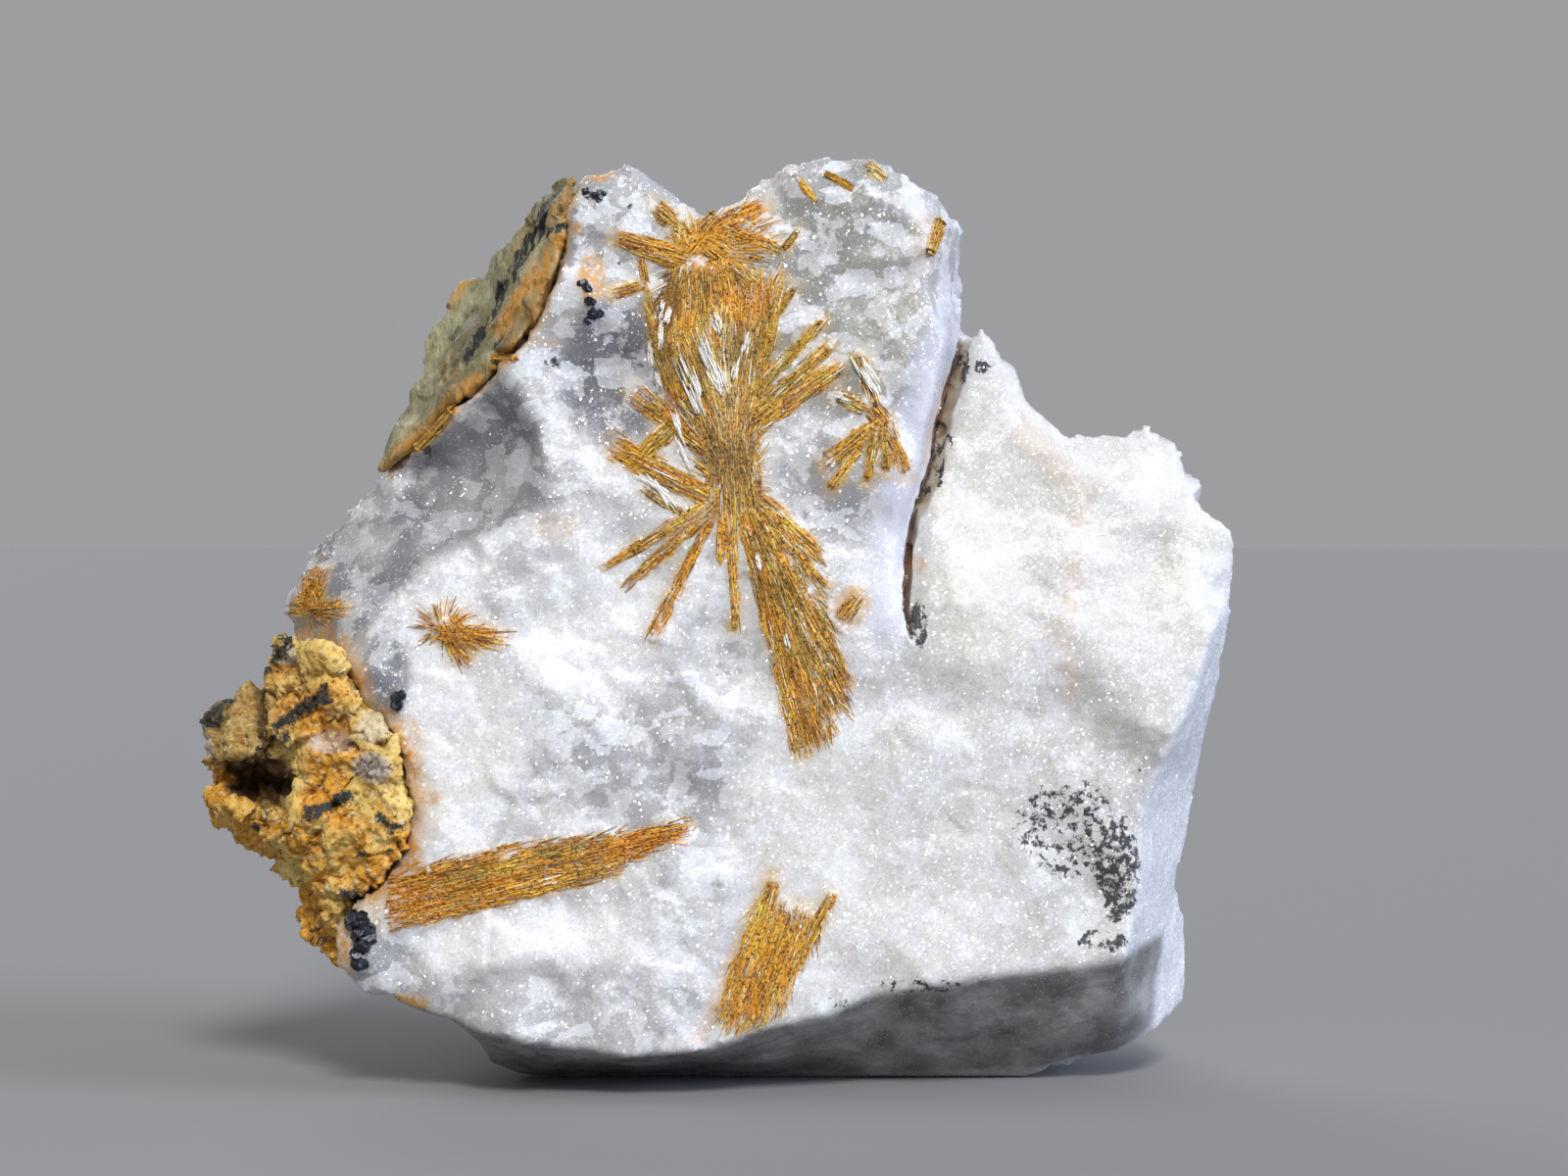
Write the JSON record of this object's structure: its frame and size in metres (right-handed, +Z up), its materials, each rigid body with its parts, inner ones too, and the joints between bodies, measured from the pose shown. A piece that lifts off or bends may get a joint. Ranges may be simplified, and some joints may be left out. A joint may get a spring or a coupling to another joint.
{
  "type": "ardennite specimen",
  "caption": "Upright hand specimen: a broken block of white vein quartz with golden ardennite sprays on its show face, a schist rind, and an ochre crust. It stands on a flat foot.",
  "frame": {"origin": "on the surface that the specimen stands on, under the centre of its bounding box", "axes": "+Z up, +X to the right seen from the front, and the show face with the ardennite sprays looks along -Y"},
  "size_m": [0.0894, 0.0434, 0.0805],
  "materials": {
    "quartz": "milky white vein quartz with a sugary broken surface",
    "ardennite": "fibrous golden-brown laths with a silky to glassy sheen",
    "ochre": "crumbly ochre-brown weathered crust with dark metallic grains",
    "schist": "olive to cream foliated wall rock with black streaks",
    "hematite": "black metallic plates",
    "vein": "dark red-brown crack filling"
  },
  "bodies": {
    "root": {"quartz_block": "quartz", "schist_rind": "schist", "ochre_crust": "ochre", "ardennite_main_spray": "ardennite", "ardennite_side_spray": "ardennite", "ardennite_long_blade": "ardennite", "ardennite_foot_spray": "ardennite", "ardennite_knot": "ardennite", "ardennite_left_spray": "ardennite", "ardennite_edge_spray": "ardennite", "ardennite_stub": "ardennite", "ardennite_rim_needle_1": "ardennite", "ardennite_rim_needle_2": "ardennite", "ardennite_rim_needle_3": "ardennite", "ardennite_rind_lath_1": "ardennite", "ardennite_rind_lath_2": "ardennite", "hematite_cluster": "hematite", "hematite_grains": "hematite", "hematite_lath": "hematite", "seam_vein": "vein"}
  },
  "joints": []
}
